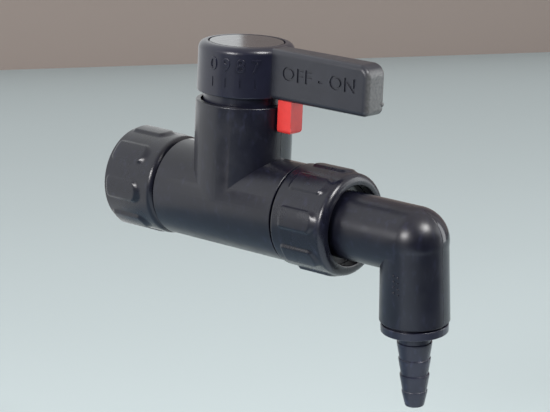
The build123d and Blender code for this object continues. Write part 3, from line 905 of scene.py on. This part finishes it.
class TAP_OT_studio(bpy.types.Operator):
    """Set the floor, wall, lights and camera"""

    bl_idname = "scene.tap_studio"
    bl_label = "Set studio"

    def execute(self, context):
        studio = context.scene.tap_studio
        context.scene.view_settings.view_transform = "Standard"
        self.ground(studio)
        self.cards(studio)
        self.lights(context)
        self.world(context)
        self.camera(context, studio)
        return {"FINISHED"}

    def ground(self, studio):
        """Pale floor and the low wall behind the tap."""
        level = -studio.floor_drop
        floor = self.sheet("floor", 6, 6, (0, 0, level), Matrix())
        paint(floor, self.matt("Pale floor", studio.floor))
        wall = self.sheet("wall", 5, WALL_HEIGHT, (-0.605, 1.13, level + WALL_HEIGHT / 2), WALL_TURN)
        paint(wall, self.matt("Warm wall", studio.wall))

    def cards(self, studio):
        """Cards that show only in the gloss: warm behind, white at the inlet, dark in front, blue below."""
        side = Matrix.Rotation(pi / 2, 4, "Y")
        front = standing(radians(60))
        end = standing(radians(128))
        flat = Matrix()
        low = CARD_LIFT - studio.floor_drop
        # Name, width, height, place, turn and colour.
        cards = (
            ("warm_card", 3.0, 1.6, (-0.60, 1.12, low + 0.8), WALL_TURN, (0.36, 0.31, 0.285)),
            ("white_card", 0.44, 0.32, (-0.035, -0.054, 0.16), side, (1.16, 1.19, 1.19)),
            ("dark_card", 1.20, 0.40, (0.45, -0.225, low + 0.2), front, (0.01, 0.01, 0.015)),
            ("dark_end_card", 0.25, 0.40, (0.667, 0.30, low + 0.2), end, (0.01, 0.01, 0.015)),
            ("blue_card", 0.84, 0.50, (-0.33, -0.22, low), flat, (0.38, 0.51, 0.62)),
            ("dim_blue_card", 0.84, 0.60, (-0.33, -0.77, low), flat, (0.14, 0.18, 0.22)),
            ("pale_blue_card", 0.31, 0.60, (0.245, -0.27, low), flat, (1.05, 1.20, 1.35)),
            ("dim_end_card", 0.40, 0.90, (0.60, -0.15, low), flat, (0.10, 0.13, 0.17)),
        )
        for name, width, height, place, turn, colour in cards:
            card = self.sheet(name, width, height, place, turn)
            card.visible_camera = False
            card.visible_diffuse = False
            card.visible_shadow = False
            card.visible_transmission = False
            paint(card, self.glow(name, colour))

    def glow(self, name, colour):
        """Even glow of a card; the dark card in front fades to grey at its left edge."""
        skin = Surface(name)
        skin.shader.inputs["Base Color"].default_value = (0, 0, 0, 1)
        skin.shader.inputs["Specular IOR Level"].default_value = 0
        skin.shader.inputs["Emission Color"].default_value = (*colour, 1)
        skin.shader.inputs["Emission Strength"].default_value = 1
        if name == "dark_card":
            across = skin.step(skin.along((0.5, 0.866, 0)), -0.57, -0.28)
            faded = skin.ramp(across, (0.10, 0.10, 0.11), colour, 0, 1)
            skin.link(faded, skin.shader.inputs["Emission Color"])
        return skin.material

    def sheet(self, name, width, height, place, turn):
        """Flat sheet of a size."""
        bpy.ops.object.select_all(action="DESELECT")
        bpy.ops.mesh.primitive_plane_add(size=1)
        item = bpy.context.object
        item.name = name
        item.matrix_world = Matrix.Translation(place) @ turn @ Matrix.Diagonal((width, height, 1, 1))
        settle(item)
        return item

    def matt(self, name, colour):
        """Matt paint with a faint unevenness."""
        skin = Surface(name)
        skin.link(skin.ramp(skin.noise(2), scaled(colour, 0.97), colour), skin.shader.inputs["Base Color"])
        skin.shader.inputs["Roughness"].default_value = 0.8
        skin.shader.inputs["Specular IOR Level"].default_value = 0.1
        return skin.material

    def lights(self, context):
        """Four soft boxes round the tap, each facing it."""
        # Name, direction from the tap, distance, size, power and colour.
        boxes = (
            ("near_box", (0.02, -0.92, 0.40), 1.2, 0.34, 10, (1.0, 0.98, 0.98)),
            ("end_box", (0.66, -0.03, 0.75), 1.2, 0.38, 12, (1.0, 0.99, 0.98)),
            ("left_box", (-0.62, -0.75, 0.22), 1.2, 0.34, 2.2, (0.98, 0.98, 1.0)),
            ("right_box", (0.66, 0.72, 0.22), 1.3, 0.90, 8.5, (0.95, 0.98, 1.0)),
        )
        for name, way, reach, size, power, colour in boxes:
            lamp = bpy.data.lights.new(name, "AREA")
            lamp.shape = "SQUARE"
            lamp.size = size
            lamp.energy = power
            lamp.color = colour
            box = bpy.data.objects.new(name, lamp)
            context.scene.collection.objects.link(box)
            direction = Vector(way).normalized()
            box.matrix_world = (Matrix.Translation(LIGHT_TARGET + direction * reach)
                                @ direction.to_track_quat("Z", "Y").to_matrix().to_4x4())

    def world(self, context):
        """Soft surroundings, light above and behind the tap and dark towards the camera."""
        world = bpy.data.worlds.new("Studio")
        context.scene.world = world
        world.use_nodes = True
        nodes = world.node_tree.nodes
        link = world.node_tree.links.new
        way = nodes.new("ShaderNodeVectorMath")
        way.operation = "DOT_PRODUCT"
        way.inputs[1].default_value = (-0.45, 0.40, 0.80)
        ramp = nodes.new("ShaderNodeValToRGB")
        ramp.color_ramp.elements[0].position = 0.0
        ramp.color_ramp.elements[0].color = (0.10, 0.10, 0.12, 1)
        ramp.color_ramp.elements[1].position = 0.75
        ramp.color_ramp.elements[1].color = (0.80, 0.77, 0.755, 1)
        link(nodes.new("ShaderNodeTexCoord").outputs["Generated"], way.inputs[0])
        link(way.outputs["Value"], ramp.inputs["Fac"])
        link(ramp.outputs["Color"], nodes["Background"].inputs["Color"])

    def camera(self, context, studio):
        """Camera at the photograph's angle."""
        lens = bpy.data.cameras.new("camera")
        lens.sensor_width = 36
        lens.lens = studio.focal
        lens.clip_start = 0.05
        camera = bpy.data.objects.new("camera", lens)
        context.scene.collection.objects.link(camera)
        back = Vector((0.61671, -0.75016, 0.23860))
        right = Vector((0.76567, 0.64202, 0.03950))
        up = Vector((-0.18281, 0.15833, 0.97031))
        place = Vector((0.59130 + STEM_X, -0.69714, 0.22212))
        camera.matrix_world = Matrix((
            (right.x, up.x, back.x, place.x),
            (right.y, up.y, back.y, place.y),
            (right.z, up.z, back.z, place.z),
            (0, 0, 0, 1)))
        context.scene.camera = camera


class TAP_PT_panel(bpy.types.Panel):
    """Sidebar panel with the settings and the steps that dress the tap"""

    bl_idname = "TAP_PT_panel"
    bl_label = "Drain Tap"
    bl_space_type = "VIEW_3D"
    bl_region_type = "UI"
    bl_category = "Tap"

    def draw(self, context):
        for name in GROUPS:
            group = getattr(context.scene, name)
            for key in group.__annotations__:
                self.layout.prop(group, key)
        for step in STEPS:
            self.layout.operator(step.bl_idname)


STEPS = (TAP_OT_housing, TAP_OT_nuts, TAP_OT_outlet, TAP_OT_lever, TAP_OT_cap, TAP_OT_latch,
         TAP_OT_inside, TAP_OT_studio)
GROUPS = {
    "tap_finish": TapFinish,
    "tap_marks": TapMarks,
    "tap_nuts": TapNuts,
    "tap_studio": TapStudio,
}


def register():
    """Register the settings, steps and panel."""
    for name, group in GROUPS.items():
        bpy.utils.register_class(group)
        setattr(bpy.types.Scene, name, bpy.props.PointerProperty(type=group))
    for step in (*STEPS, TAP_PT_panel):
        bpy.utils.register_class(step)


def unregister():
    """Take the settings, steps and panel away again."""
    for step in (TAP_PT_panel, *reversed(STEPS)):
        bpy.utils.unregister_class(step)
    for name, group in GROUPS.items():
        delattr(bpy.types.Scene, name)
        bpy.utils.unregister_class(group)


def main():
    """Dress the tap and set the studio."""
    register()
    bpy.ops.object.tap_housing()
    bpy.ops.object.tap_nuts()
    bpy.ops.object.tap_outlet()
    bpy.ops.object.tap_lever()
    bpy.ops.object.tap_cap()
    bpy.ops.object.tap_latch()
    bpy.ops.object.tap_inside()
    bpy.ops.scene.tap_studio()


if __name__ == "__main__":
    main()
